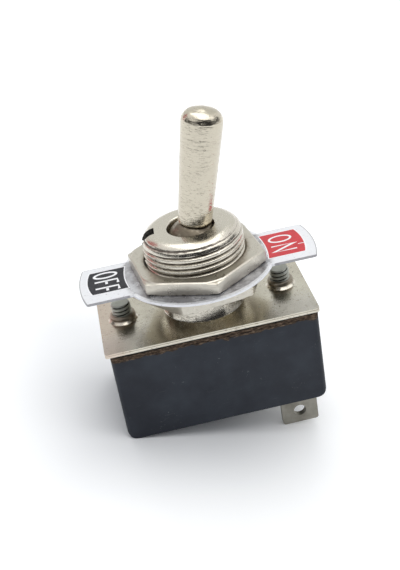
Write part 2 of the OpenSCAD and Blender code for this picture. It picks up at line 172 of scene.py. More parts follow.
# %% Graph
class Graph:
    """A node tree, and the ways to add to it."""

    def __init__(self, tree):
        self.tree = tree
        self.tree.nodes.clear()

    def plug(self, socket, value):
        if isinstance(value, Link):
            self.tree.links.new(value.socket, socket)
        elif socket.type == "RGBA":
            socket.default_value = (*value, 1)
        else:
            socket.default_value = value

    def set_stops(self, ramp, stops):
        while len(ramp.elements) < len(stops):
            ramp.elements.new(0.5)
        for stop, (where, colour) in zip(ramp.elements, stops):
            stop.position, stop.color = where, (*colour, 1)

    def node(self, kind, settings=None, values=None, out=0):
        made = self.tree.nodes.new("ShaderNode" + kind)
        for key, value in (settings or {}).items():
            if key == "stops":
                self.set_stops(made.color_ramp, value)
            else:
                setattr(made, key, value)
        for key, value in (values or {}).items():
            self.plug(made.inputs[key], value)
        return Link(self, made.outputs[out]) if made.outputs else made

    def sum(self, operation, left, right):
        return self.node("Math", {"operation": operation}, {0: left, 1: right})

    def vector(self, operation, left, right, out=0):
        return self.node("VectorMath", {"operation": operation}, {0: left, 1: right}, out)

    def seen(self):
        sight = self.node("LightPath", out="Is Camera Ray")
        for ray in ("Is Glossy Ray", "Is Transmission Ray"):
            sight = sight.larger(self.node("LightPath", out=ray))
        return sight


print("graph ready")

# %% [markdown]
# ## A finish and its patterns
# Each finish is one Principled surface. Its patterns are noise at the size of
# the real marks, placed by the piece's own coordinates in metres, so they need
# no unwrapping and keep their size on every piece. A cloud can be stretched
# into grain or wound round an axis, and a smooth step turns it into spots.

# %% Finish
class Finish(Graph):
    """One material: a Principled surface and the patterns that vary it."""

    def __init__(self, name, **fixed):
        self.material = bpy.data.materials.new(name)
        self.material.use_nodes = True
        super().__init__(self.material.node_tree)
        shader = self.node("BsdfPrincipled")
        self.surface = shader.socket.node
        self.node("OutputMaterial", values={"Surface": shader})
        self.vary(**fixed)

    def vary(self, **inputs):
        for name, value in inputs.items():
            self.plug(self.surface.inputs[name.replace("_", " ")], value)

    def place(self):
        return self.node("TexCoord", out="Object")

    def along(self, direction, at=None):
        """How far a point lies along a direction, in metres."""
        return self.vector("DOT_PRODUCT", at or self.place(), direction, out=1)

    def stretch(self, scale, at=None):
        return self.vector("MULTIPLY", at or self.place(), scale)

    def away(self, centre):
        """The vector from a point."""
        return self.vector("SUBTRACT", self.place(), centre)

    def reach(self, centre, squeeze=(1, 1, 1)):
        """Distance from a point, in metres; squeeze ROUND gives a radius round Z."""
        return self.vector("LENGTH", self.stretch(squeeze, self.away(centre)), (0, 0, 0), out=1)

    def step(self, value, start, end):
        """0 below start, 1 above end, smooth between."""
        return self.node("MapRange", {"interpolation_type": "SMOOTHSTEP"},
                         {0: value, 1: start, 2: end})

    def cloud(self, scale, detail=3.0, at=None, roughness=0.55):
        """Noise from about 0 to 1; scale is in features per metre."""
        return self.node("TexNoise", values={
            "Vector": at or self.place(), "Scale": scale, "Detail": detail,
            "Roughness": roughness})

    def grain(self, scales, detail, roughness=0.55):
        """A cloud with its own number of features per metre along X, Y and Z."""
        return self.cloud(1.0, detail, self.stretch(scales), roughness)

    def spots(self, scale, detail, start, end):
        """Where a cloud is thick: more spots with a lower start."""
        return self.step(self.cloud(scale, detail), start, end)

    def turned(self, axis, along, across):
        """A vector whose noise is squeezed along an axis, as a lathe leaves it."""
        side = Vector((0, 1, 0)).cross(Vector(axis))
        return self.node("CombineXYZ", values={
            0: self.along(axis) * along, 1: self.along(tuple(side)) * across,
            2: self.along((0, 1, 0)) * across})

    def tint(self, mask, first, second):
        return self.node("Mix", {"data_type": "RGBA"}, {0: mask, 6: first, 7: second}, out=2)

    def ramp(self, mask, stops):
        return self.node("ValToRGB", {"stops": stops}, {0: mask})

    def relief(self, height, depth):
        """Bump whose full height is depth, in metres."""
        self.vary(Normal=self.node("Bump", values={
            "Strength": 1.0, "Distance": depth, "Height": height}))


ROUND = (1, 1, 0)
AXIS = (0, 0, 1)
print("finish ready")

# %% [markdown]
# ## Turned nickel
# The lever and the nuts are plated with nickel: a warm grey mirror, blurred a
# little by the marks of the tool that cut them. Nickel reflects about two
# thirds of the light, less in blue, which gives its warm tint. The marks run
# round the part. Rings could be drawn as waves, but waves are too even, so the
# noise is squeezed along the part's axis. Pits in the plating are darker and
# rougher. Low on the lever the marks are polished away.

# %% Turned nickel
LEVER_AXIS = (math.sin(TILT), 0, math.cos(TILT))
WORN_BELOW, CUT_ABOVE = 7 * MM, 15 * MM


def turned_nickel(name, axis, rough, pits, rings, shade_and_dirt, tone, dark):
    """rings is (marks per metre, depth, strength low down); the rule after it makes a mask of
    painted shade and dirt.
    """
    finish = Finish(name, Metallic=1.0)
    marks, depth, least = rings
    coarse = finish.cloud(1.0, 1.0, finish.turned(axis, marks, 60.0))
    fine = finish.cloud(1.0, 3.0, finish.turned(axis, marks * 3.0, 700.0))
    speck = finish.cloud(1.0, 2.0, finish.turned(axis, 6000.0, 1700.0))
    speck = finish.step(speck, 0.50, 0.68)
    blotch = finish.cloud(500.0, 4.0)
    # The rule's mask: painted shade on the lever's ball, dust and painted shade in the nut's bore.
    soil_and_shade = shade_and_dirt(finish)
    dirt_and_shade = finish.step(blotch, 0.35, 0.9) * 0.20 + speck * pits
    dirt_and_shade = dirt_and_shade + finish.step(fine, 0.50, 0.66) * 0.14 + soil_and_shade * 1.1
    finish.vary(Base_Color=finish.tint(finish.step(dirt_and_shade, 0.0, 1.15), tone, dark),
                Roughness=rough + 0.12 * blotch + 0.12 * speck + 0.25 * soil_and_shade)
    strength = least + (1 - least) * finish.step(finish.along(axis), WORN_BELOW, CUT_ABOVE)
    finish.relief((coarse + fine * 0.3) * strength - speck * 0.10, depth)
    return finish


print("lever leans along", [round(part, 3) for part in LEVER_AXIS])

# %% [markdown]
# ## Painted shade on the ball, dust and shade in the bore
# The lever's ball sits deep in the seat where it turns, and is darkened there
# as painted shade. Dust packs into the nut's bore and the seam over the label,
# and both are darkened also as painted shade where the parts meet. This could
# be painted by hand. A rule of distance does it here: from the pivot, from the
# axis, and from the height of the seam, with noise to break it up.

# %% Painted shade on the ball, dust and shade in the bore
def ball_shade(finish):
    # The ball deep in its seat is darkened as painted shade, in patches.
    near = 1 - finish.step(finish.reach((0, 0, PIVOT * MM)), 3.15 * MM, 3.55 * MM)
    return near * (0.55 + 0.65 * finish.spots(650.0, 3.0, 0.36, 0.60))


def bore_dust_and_shade(finish):
    # The bore and the seam over the label: dust, with painted shade where the parts meet.
    bore = 1 - finish.step(finish.reach((0, 0, 0), ROUND), 6.0 * MM, 6.9 * MM)
    seam = abs(finish.along(AXIS) - LABEL_TOP * MM)
    seam = 1 - finish.step(seam, 0.06 * MM, 0.34 * MM)
    dust = finish.cloud(900.0, 3.0) * 0.6
    return bore * (0.5 + dust) + seam * finish.spots(1700.0, 3.0, 0.50, 0.60)


lever_nickel = turned_nickel(
    "lever_nickel", LEVER_AXIS, rough=0.12, pits=0.15, rings=(2000.0, 0.085 * MM, 0.15),
    shade_and_dirt=ball_shade, tone=(0.585, 0.54, 0.445), dark=(0.17, 0.145, 0.11))
nut_nickel = turned_nickel(
    "nut_nickel", AXIS, rough=0.22, pits=0.25, rings=(2600.0, 0.008 * MM, 1.0),
    shade_and_dirt=bore_dust_and_shade, tone=(0.57, 0.54, 0.475), dark=(0.30, 0.265, 0.215))
print("nickel finishes:", lever_nickel.material.name, nut_nickel.material.name)

# %% [markdown]
# ## Threaded nickel
# The roots of a thread are darkened, partly by dirt and partly as painted
# shade. Cavity maps would find them, but a thread can be worked out: the angle
# round the screw and the height together tell where a point is on the helix,
# by the same sum that cuts the groove in the mesh. Ragged noise breaks the edge
# of the mask, since dirt and wear are never even. The walls of the keyway get
# their own finish of painted shade and dirt.

# %% Threaded nickel
FADE = 0.1 * MM


def threaded_nickel(name, centre, crest, pitch, start, top, bottom, tone, dark, rough, shade_and_dirt):
    """Nickel with dirt and painted shade in a thread's roots; all lengths are in metres."""
    finish = Finish(name, Metallic=1.0)
    around = finish.away(centre)
    turn = finish.sum("ARCTAN2", finish.along((0, 1, 0), around), finish.along((1, 0, 0), around))
    turn = turn * (0.5 / math.pi)
    height = finish.along(AXIS)
    phase = finish.sum("FRACT", height * (1 / pitch) - turn + start, 0.0)
    ragged = finish.cloud(1900.0, 4.0)
    # The groove mask marks the thread's roots, darkened by dirt and by painted shade.
    groove = 1 - finish.step(abs(phase - 0.5) + 0.22 * ragged, 0.17, 0.33)
    groove = groove * finish.step(finish.reach(centre, ROUND), crest * 0.72, crest * 0.76)
    groove = groove * finish.step(height, bottom, bottom + FADE)
    groove = groove * (1 - finish.step(height, top - FADE, top))
    blotch = finish.cloud(600.0, 4.0)
    worn = finish.step(finish.grain((2200.0, 2200.0, 9000.0), 4.0), 0.50, 0.72)
    speck = finish.spots(4800.0, 2.0, 0.60, 0.72)
    # Roots darkened by painted shade and dirt, with blotches, specks and wear.
    dirt_and_shade = groove * shade_and_dirt + finish.step(blotch, 0.4, 1.0) * 0.25 + speck * 0.25 + worn * 0.22
    finish.vary(Base_Color=finish.tint(finish.step(dirt_and_shade, 0.0, 1.15), tone, dark),
                Roughness=rough + 0.25 * groove + 0.15 * blotch + 0.1 * worn)
    finish.relief(finish.cloud(2600.0, 3.0) - speck - 0.6 * worn, 0.008 * MM)
    return finish


bushing_nickel = threaded_nickel(
    "bushing_nickel", (0, 0, 0), crest=THREAD_R * MM, pitch=PITCH * MM, start=THREAD_START,
    top=(CROWN - 0.42) * MM, bottom=NECK_TOP * MM,
    tone=(0.64, 0.605, 0.53), dark=(0.12, 0.10, 0.085), rough=0.14, shade_and_dirt=0.9)
# A near-black finish for the walls of the keyway and slots: painted shade with some dirt, in
# patches.
slot_shade_and_dirt = Finish("slot_shade_and_dirt_nickel", Metallic=0.7)
patchy_shade = slot_shade_and_dirt.cloud(1500.0, 4.0)
slot_shade_and_dirt.vary(
    Base_Color=slot_shade_and_dirt.tint(slot_shade_and_dirt.step(patchy_shade, 0.35, 0.7),
                                 (0.035, 0.033, 0.030), (0.19, 0.18, 0.16)),
    Roughness=0.45 + 0.2 * patchy_shade)
print("thread finishes:", bushing_nickel.material.name, slot_shade_and_dirt.material.name)

# %% [markdown]
# ## Cover plate
# The cover plate is blanked from plated strip. Rolling leaves long, faint
# lines along it and a soft, cloudy reflection; handling adds haze and small
# brown stains. A warm tint at the left end is a painted reflection of something
# red beside the switch. Round the drawn collars at the screws' feet the plate is
# darkened as painted shade, and a dark line runs along the sheared front edge,
# where the punch broke through. One cloud of dirt over everything would look
# like fog, so each mark is a mask of its own, and they are added up.

# %% Cover plate finish
PLATE_TONE, PLATE_SOIL_AND_SHADE = (0.67, 0.64, 0.55), (0.27, 0.23, 0.18)
PLATE_WARM_REFLECTION = (0.62, 0.46, 0.39)

plate = Finish("plate_nickel", Metallic=1.0)
haze = plate.cloud(260.0, 4.0)
scuff = plate.spots(1500.0, 4.0, 0.56, 0.78)
stain = plate.spots(2200.0, 2.0, 0.61, 0.70)
lip = abs(plate.along(AXIS) - (PLATE_TOP - 0.19) * MM)
lip = 1 - plate.step(lip + 0.06 * MM * plate.cloud(1500.0), 0.05 * MM, 0.09 * MM)
lip = lip * plate.step(plate.along((0, -1, 0)), 7.3 * MM, 7.4 * MM)
# A ring of painted shade round each screw's foot.
collar_shade = 0.0
for node in ("screw_left", "screw_right"):
    axis_x = (low(node).x + high(node).x) / 2 * MM
    radius = plate.reach((axis_x, 0, 0), ROUND)
    collar_shade = (1 - plate.step(radius, 1.50 * MM, 1.70 * MM)) + collar_shade
# The warm tint at the left end is a painted reflection of something red beside the switch.
warm_reflection = plate.along((-1, 0, 0)) + haze * 0.002
warm_reflection = plate.step(warm_reflection, 10.0 * MM, 13.5 * MM) * 0.42
soil_and_shade = plate.step(haze, 0.25, 0.9) * 0.35 + scuff * 0.25 + stain * 0.5
soil_and_shade = soil_and_shade + lip * 0.8 + collar_shade * 0.75
soiled_and_shaded = plate.tint(soil_and_shade, PLATE_TONE, PLATE_SOIL_AND_SHADE)
plate.vary(
    Base_Color=plate.tint(warm_reflection, soiled_and_shaded, PLATE_WARM_REFLECTION),
    Roughness=0.13 + 0.14 * haze + 0.12 * scuff + 0.15 * collar_shade)
grain = plate.grain((260.0, 5200.0, 900.0), 4.0)
plate.relief(grain * 0.7 + plate.cloud(700.0) * 0.6 - stain * 0.5, 0.014 * MM)
print("plate finish:", plate.material.name)

# %% [markdown]
# ## Label aluminium
# The label is soft aluminium with a satin lacquer, pale and evenly lit on its
# tabs. Round the nut it has been handled: scratched and smudged, and darker
# there also from painted shade and dark reflections near the nut. The cut edges
# of the tabs are darkened as painted shade, and the rim of the disc stays
# bright. Wear could be painted on, but masks by the distance from the axis and
# from the middle line of the tabs need no image.

# %% Label finish
label = Finish("label_metal", Metallic=0.6)
across = abs(label.along((0, 1, 0)))
radius = label.reach((0, 0, 0), ROUND)
mottle = label.cloud(800.0, 4.0)
# Near the nut: dirt, with painted shade and dark reflections.
handled_and_shaded = 1 - label.step(radius + 0.0012 * mottle, 9.3 * MM, 10.1 * MM)
free_rim = label.step(radius, 8.70 * MM, 8.90 * MM)
free_rim = free_rim * label.step(across, 3.8 * MM, 4.3 * MM)
handled_and_shaded = handled_and_shaded * (1 - free_rim)
# The tabs' cut edges get painted shade.
tab_edge_shade = label.step(radius, 9.4 * MM, 9.6 * MM)
tab_edge_shade = tab_edge_shade * label.step(across, 4.02 * MM, 4.07 * MM)
tab_edge_shade = tab_edge_shade + label.step(radius, 14.12 * MM, 14.18 * MM)
scratch = label.step(label.grain((1200.0, 5200.0, 900.0), 3.0), 0.56, 0.70)
smudge = label.spots(330.0, 3.0, 0.44, 0.60)
fleck = label.spots(3600.0, 2.0, 0.64, 0.72)
soil_and_shade = handled_and_shaded * (0.12 + 0.65 * mottle + 0.45 * smudge) + fleck * 0.5
soil_and_shade = soil_and_shade + scratch * 0.15 + tab_edge_shade * 0.85
label.vary(
    Base_Color=label.tint(soil_and_shade, (0.80, 0.81, 0.845), (0.30, 0.295, 0.31)),
    Roughness=0.34 + 0.12 * mottle - 0.14 * handled_and_shaded)
label.relief(label.cloud(2400.0, 3.0) + scratch * 1.1 * handled_and_shaded, 0.018 * MM)
print("label finish:", label.material.name)

# %% [markdown]
# ## Vulcanised fibre
# The gasket is vulcanised fibre, pressed from layers of brown paper, so its
# edge shows short level flecks from near black to tan. A dark band under the
# cover plate is painted shade in the gap that the two leave. The ramp gives
# three tones, which one mix of two can't.

# %% Fibre finish
FIBRE_STOPS = [(0.36, (0.014, 0.010, 0.008)), (0.50, (0.065, 0.042, 0.027)),
               (0.66, (0.22, 0.155, 0.11))]
LAYERS = (1500.0, 1500.0, 5200.0)

fibre = Finish("fibre", Specular_IOR_Level=0.25)
flecks = fibre.grain(LAYERS, 5.0, 0.7)
height = fibre.along(AXIS) + 0.0005 * (fibre.cloud(900.0, 3.0) - 0.5)
# A near-black band of painted shade just under the cover plate.
gap_shade = fibre.step(height, (GASKET_TOP - 0.34) * MM, (GASKET_TOP - 0.16) * MM)
fibre.vary(Base_Color=fibre.tint(gap_shade, fibre.ramp(flecks, FIBRE_STOPS), (0.008, 0.007, 0.006)),
           Roughness=0.8 + 0.15 * flecks)
fibre.relief(flecks, 0.08 * MM)
print("fibre finish:", fibre.material.name)

# %% [markdown]
# ## Moulded housing
# The housing is moulded phenolic, a blue-black that is never quite even: it
# carries faint flow marks, fine dust and level hairlines from the mould. The
# gasket's edge frays and hangs over the housing's rim as a ragged brown
# fringe. The fringe is too thin to be worth a mesh, so it is a mask by height
# whose lower edge wanders with noise.

# %% Housing finish
SHRED_STOPS = [(0.38, (0.016, 0.011, 0.009)), (0.50, (0.060, 0.040, 0.027)),
               (0.64, (0.20, 0.145, 0.10))]

phenolic = Finish("phenolic", Specular_IOR_Level=0.25)
flow = phenolic.cloud(140.0, 5.0)
dust = phenolic.spots(3600.0, 2.0, 0.66, 0.74) * phenolic.spots(350.0, 3.0, 0.5, 0.65)
hairline = phenolic.step(phenolic.grain((600.0, 600.0, 5200.0), 3.0), 0.66, 0.76)
moulded = phenolic.tint(
    phenolic.step(flow, 0.3, 0.75), (0.014, 0.017, 0.025), (0.033, 0.040, 0.053))
bare = phenolic.tint(dust * 0.45 + hairline * 0.12, moulded, (0.16, 0.17, 0.18))
below_rim = high("housing").z * MM - phenolic.along(AXIS)
ragged = phenolic.grain((620.0, 620.0, 1500.0), 4.0, 0.6)
shreds = 1 - phenolic.step(below_rim - 0.0015 * (ragged - 0.34), -0.05 * MM, 0.03 * MM)
fringe = phenolic.ramp(phenolic.grain(LAYERS, 5.0, 0.7), SHRED_STOPS)
phenolic.vary(Base_Color=phenolic.tint(shreds, bare, fringe),
              Roughness=0.36 + 0.14 * flow + 0.2 * dust + 0.4 * shreds)
skin = phenolic.cloud(900.0, 3.0) * 0.5 + phenolic.cloud(5200.0, 2.0) * 0.3
phenolic.relief(skin, 0.02 * MM)
print("housing finish:", phenolic.material.name)

# %% [markdown]
# ## Tinned blades
# The terminals are tinned strip, duller than nickel, with cloudy tarnish and
# fine level lines. A wave texture could draw the lines, but noise squeezed in
# height is less regular.

# %% Blade finish
blade = Finish("blade_metal", Metallic=0.85)
tarnish = blade.cloud(500.0, 5.0)
blade.vary(
    Base_Color=blade.tint(blade.step(tarnish, 0.25, 0.85),
                                (0.36, 0.345, 0.30), (0.20, 0.19, 0.16)),
    Roughness=0.42 + 0.2 * tarnish)
blade.relief(blade.grain((900.0, 900.0, 4200.0), 3.0), 0.012 * MM)
print("finishes so far:", len(bpy.data.materials))

# %% [markdown]
# ## Finishes of the mechanism
# Inside sit a steel pin, a nylon plunger, its spring, a phenolic rocker and
# brass and silver contacts. They show only when the switch is taken apart, so
# one function mixes two tones of each by noise.

# %% Finishes of the mechanism
def plain_finish(name, first, second, rough, metal=0.0):
    finish = Finish(name, Metallic=metal)
    mask = finish.cloud(900.0, 4.0)
    finish.vary(Base_Color=finish.tint(finish.step(mask, 0.3, 0.75), first, second),
                Roughness=rough + 0.15 * mask)
    finish.relief(finish.cloud(2700.0, 2.0), 0.008 * MM)
    return finish


hidden = {node: plain_finish(*look) for node, look in {
    "pivot_pin": ("pin_steel", (0.45, 0.45, 0.46), (0.30, 0.30, 0.31), 0.25, 1.0),
    "plunger": ("plunger_nylon", (0.75, 0.72, 0.63), (0.66, 0.62, 0.52), 0.35),
    "plunger_spring": ("spring_steel", (0.42, 0.42, 0.44), (0.24, 0.24, 0.25), 0.3, 1.0),
    "rocker": ("rocker_phenolic", (0.10, 0.045, 0.022), (0.06, 0.027, 0.014), 0.45),
    "contact_bar": ("contact_brass", (0.62, 0.45, 0.18), (0.40, 0.27, 0.10), 0.3, 1.0),
    "bar_rivet": ("rivet_brass", (0.60, 0.43, 0.18), (0.38, 0.26, 0.10), 0.35, 1.0),
}.items()}
silver = plain_finish("contact_silver", (0.82, 0.82, 0.80), (0.62, 0.62, 0.60), 0.25, 1.0)
for tip in ("moving_tip_front", "moving_tip_rear", "fixed_tip_front", "fixed_tip_rear"):
    hidden[tip] = silver
print("hidden pieces with a finish:", len(hidden))

# %% [markdown]
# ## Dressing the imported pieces
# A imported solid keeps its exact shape, but its edges are knife sharp. Real
# edges catch a thin line of light because they are slightly rounded. A new
# mesh could carry the rounding, but a Weld and a Bevel modifier add it to the
# label without touching the solid.

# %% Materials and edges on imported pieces
def soften(piece, edge, angle):
    """Round the edges that are sharper than an angle, by edge in millimetres."""
    bevel = piece.modifiers.new("edges", "BEVEL")
    bevel.width, bevel.segments = edge * MM, 2
    bevel.limit_method, bevel.angle_limit = "ANGLE", math.radians(angle)


def dress(node, finish, edge=0.0):
    piece = nodes[node]
    piece.data.materials.clear()
    piece.data.materials.append(finish.material)
    if edge:
        piece.modifiers.new("weld", "WELD").merge_threshold = 1e-6
        soften(piece, edge, 35)


for node, finish in hidden.items():
    dress(node, finish)
dress("lever", lever_nickel)
dress("cover_plate", plate)
dress("label_plate", label, edge=0.07)
dress("housing", phenolic)
for node in ("terminal_front", "terminal_rear"):
    dress(node, blade)
print("packed pieces dressed:", len(hidden) + 6)

# %% [markdown]
# ## Turning a profile
# The bushing and the screws are bodies of revolution. Blender's Screw modifier
# could spin them, but it can't fade a thread in or make it ragged. So one
# function spins a closed profile into a mesh, and takes a rule that may pull a
# point inward depending on its angle and height, which is all a thread needs.

# %% A lathe for meshes
def piece_from(name, points, faces, finish, body, crease=30):
    """A piece from points in millimetres, sharp where it turns more than crease."""
    mesh = bpy.data.meshes.new(name)
    mesh.from_pydata([Vector(p) * MM for p in points], [], faces)
    mesh.materials.append(finish.material)
    mesh.polygons.foreach_set("use_smooth", [True] * len(mesh.polygons))
    mesh.set_sharp_from_angle(angle=math.radians(crease))
    piece = bpy.data.objects.new(name, mesh)
    scene.collection.objects.link(piece)
    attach(piece, body)
    return piece


def ring_faces(rays, rows):
    """Faces between rays of points, closed both ways."""
    faces = []
    for i in range(rays):
        a, b = i * rows, (i + 1) % rays * rows
        faces += [(a + j, b + j, b + (j + 1) % rows, a + (j + 1) % rows) for j in range(rows)]
    return faces


def lathe(profile, steps, rule):
    """Points and faces of a closed profile of (radius, height) spun round Z."""
    points = []
    for i in range(steps):
        a = 2 * math.pi * i / steps
        for r, z in profile:
            r = rule(r, z, a)
            points.append((r * math.cos(a), r * math.sin(a), z))
    return points, ring_faces(steps, len(profile))


def arc(centre, radius, start, end, count):
    """Points on an arc in the profile's plane, angles in degrees."""
    angles = [math.radians(start + (end - start) * i / count) for i in range(count + 1)]
    return [(centre[0] + radius * math.cos(a), centre[1] + radius * math.sin(a)) for a in angles]


def column(radius, top, bottom, pitch):
    """Points straight down a wall, close enough together to carry a thread."""
    count = max(2, round((top - bottom) / pitch * 14))
    return [(radius, top - (top - bottom) * i / count) for i in range(count + 1)]


print("lathe ready")

# %% [markdown]
# ## A thread's groove
# A thread climbs by one pitch in each turn, so the angle and the height give a
# phase, and the groove lies where the phase is near one half. Where the wall
# rounds over into the crown, a shallower groove fades in with a little
# raggedness, because a die bites unevenly as it starts.

# %% Groove
THREAD_DEPTH, THREAD_WIDTH, THREAD_ENTRY = 0.32, 0.36, 0.13


def groove_rule(crest, depth, pitch, top, bottom, width, start=0.0, entry=0.0):
    """The thread's groove; entry is the depth of its first turn, in the rounding."""
    def rule(r, z, a):
        if r < crest - 2.2 * depth or z > top or z < bottom:
            return r
        phase = (z / pitch - a / (2 * math.pi) + start) % 1
        cut = max(0.0, 1 - abs(phase - 0.5) / width)
        cut = cut * cut * (3 - 2 * cut)
        fade = min(1.0, max(0.0, (top - 0.30 - z) / 0.35))
        rough = 0.75 + 0.5 * noise.noise(Vector((r * math.cos(a), r * math.sin(a), z)) * 2.6)
        return min(r - entry * fade * rough * cut ** 2, crest - depth * cut)
    return rule


groove = groove_rule(THREAD_R, THREAD_DEPTH, PITCH, CROWN, NECK_TOP, THREAD_WIDTH,
                     THREAD_START, THREAD_ENTRY)
turns = [groove(THREAD_R, CROWN - 2, math.radians(a)) for a in range(360)]
print("thread radius at one height:", round(min(turns), 2), "to", round(max(turns), 2))

# %% [markdown]
# ## The threaded bushing
# The bushing is turned from bar and plated. Its crown is flat and rolls over
# into the thread with a large radius; inside are the hole, the seat of the
# ball and a bore that opens toward the housing. Below the thread come a plain
# neck and a spigot, staked under the cover plate. The profile walks all of
# this once, up the inside and down the outside, and the lathe spins it.

# %% Bushing
HOLE_R, SEAT_R, BORE_R, TAIL_R = 2.78, 3.2, 3.25, 1.72
MOUTH_R = (PIVOT - MOUTH) * math.tan(TILT) + TAIL_R / math.cos(TILT) + 0.08
SPIGOT_R, STAKE_R, STAKE_T = MOUTH_R + 0.62, MOUTH_R + 1.17, 0.45
HOLE_EDGE, DISH_R, CROWN_EDGE = 0.28, 3.5, 1.7
RUN_OUT, NECK_R, FOOT_R = 0.45, 4.9, 5.0
LIP = PIVOT + math.sqrt(SEAT_R ** 2 - HOLE_R ** 2)
FLAT_R = THREAD_R - CROWN_EDGE

profile = [(MOUTH_R, MOUTH), (MOUTH_R, PIVOT - 3.6), (BORE_R, PIVOT - 2.6), (BORE_R, PIVOT - 0.01)]
profile += arc((0, PIVOT), SEAT_R, 0, math.degrees(math.asin((LIP - PIVOT) / SEAT_R)), 6)
profile += [(HOLE_R, LIP + 0.05), (HOLE_R, CROWN - 0.3)]
profile += arc((HOLE_R + HOLE_EDGE, CROWN - 0.30), HOLE_EDGE, 180, 90, 6)
profile += [(DISH_R, CROWN - 0.003), (FLAT_R - 0.1, CROWN)]
profile += arc((FLAT_R, CROWN - CROWN_EDGE), CROWN_EDGE, 90, 0, 56)
profile += column(THREAD_R, CROWN - CROWN_EDGE - 0.03, NECK_TOP + 0.05, PITCH)
profile += [(THREAD_R - RUN_OUT, NECK_TOP), (NECK_R, NECK_TOP - 0.25)]
profile += [(NECK_R, PLATE_TOP + 0.12), (FOOT_R, PLATE_TOP), (SPIGOT_R, PLATE_TOP - 0.1)]
profile += [(SPIGOT_R, MOUTH + STAKE_T), (STAKE_R, MOUTH + STAKE_T), (STAKE_R, MOUTH)]
points, faces = lathe(profile, 256, groove)
bushing = piece_from("threaded_bushing", points, faces, bushing_nickel, "base", 40)
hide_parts("bushing")
print("bushing faces:", len(bushing.data.polygons))

# %% [markdown]
# ## Keyway and pin slots
# A keyway runs down the thread for the tongue of a washer, and two slots
# inside let the lever's cross pin in from below. Straight walls are awkward in
# a grid of rays but easy as a difference, so one cutting tool made of three
# boxes is taken away with a Boolean. The new walls are found by the planes of
# the tool, and get a near-black finish that paints the shade and dirt inside
# the cuts.

# %% Cutting tool
def cutter(boxes):
    """A cutting tool made of boxes, each two corners in millimetres and a turn about Z."""
    tool = bmesh.new()
    for low_corner, high_corner, turn in boxes:
        size = Vector(high_corner) - Vector(low_corner)
        centre = (Vector(high_corner) + Vector(low_corner)) / 2
        spot = Matrix.Translation(centre * MM) @ Matrix.Diagonal((*(size * MM), 1))
        bmesh.ops.create_cube(tool, size=1, matrix=Matrix.Rotation(turn, 4, "Z") @ spot)
    mesh = bpy.data.meshes.new("cutter")
    tool.to_mesh(mesh)
    tool.free()
    return bpy.data.objects.new("cutter", mesh)


def carve(piece, tool, wall_finish):
    """Take the tool away from a piece and give the cut walls their own finish."""
    scene.collection.objects.link(tool)
    cut = piece.modifiers.new("cut", "BOOLEAN")
    cut.object, cut.solver = tool, "EXACT"
    view = bpy.context.evaluated_depsgraph_get()
    mesh = bpy.data.meshes.new_from_object(piece.evaluated_get(view))
    piece.modifiers.remove(cut)
    piece.data = mesh
    mesh.materials.append(wall_finish.material)
    walls = [(side.normal, side.center.dot(side.normal)) for side in tool.data.polygons]
    for face in mesh.polygons:
        on_wall = any(face.normal.dot(way) < -0.999 and abs(face.center.dot(way) - far) < 1e-6
                      for way, far in walls)
        face.material_index = int(on_wall and abs(face.normal.z) < 0.5)
    mesh.polygons.foreach_set("use_smooth", [True] * len(mesh.polygons))
    mesh.set_sharp_from_angle(angle=math.radians(40))
    bpy.data.objects.remove(tool)


print("cutting tool ready")

# %% Keyway and slots
KEYWAY_DEPTH, KEYWAY_HALF, KEYWAY_TURN = 1.7, 0.775, math.radians(176)
PIN_GAP = 0.05

keyway = ((THREAD_R - KEYWAY_DEPTH, -KEYWAY_HALF, NECK_TOP + 0.01),
          (THREAD_R + 1, KEYWAY_HALF, CROWN + 1), KEYWAY_TURN)
pin_low, pin_high = low("pivot_pin"), high("pivot_pin")
slot_low = (pin_low.x - PIN_GAP, 2.0, MOUTH - 1)
slot_high = (pin_high.x + PIN_GAP, pin_high.y + 0.1, pin_high.z + PIN_GAP)
tool = cutter([keyway, (slot_low, slot_high, 0), (slot_low, slot_high, math.pi)])
carve(bushing, tool, slot_shade_and_dirt)
print("bushing after the cuts:", len(bushing.data.polygons), "faces")

# %% [markdown]
# ## Hexagon nuts
# A stamped nut has six flats with softly rounded corners, and a cone turned
# on each face that trims the corners to curved edges. A six-sided cylinder
# has neither. So the outline is walked point by point, along each flat and
# round each corner, and rings that follow it at smaller and smaller radii
# build the chamfer and the face. The innermost ring dips into the countersink.

# %% Hexagon
FLATS, CORNER = 14.7, 0.30


def hexagon(flats, corner, turn):
    """Outline of a hexagon with rounded corners, as (x, y) points."""
    inner = (flats / 2 - corner) / math.cos(math.pi / 6)
    turns = [turn + side * math.pi / 3 for side in range(7)]
    hubs = [Vector((inner * math.cos(at), inner * math.sin(at))) for at in turns]
    outline = []
    for at, hub, end in zip(turns, hubs, hubs[1:]):
        for i in range(7):
            a = at - math.pi / 6 + math.pi / 3 * i / 6
            outline.append(hub + corner * Vector((math.cos(a), math.sin(a))))
        a = at + math.pi / 6
        for i in range(1, 8):
            outline.append(hub.lerp(end, i / 8) + corner * Vector((math.cos(a), math.sin(a))))
    return outline


print("points round a nut:", len(hexagon(FLATS, CORNER, 0)))

# %% Nuts
NUT_BORE, SINK_TOP, SINK_FOOT = 5.85, 6.22, 6.1
CHAMFER, CONE_FALL, INSET = 0.05, 0.20, 0.20
BEYOND = 99  # wider than any corner, so the ring lies on the outline


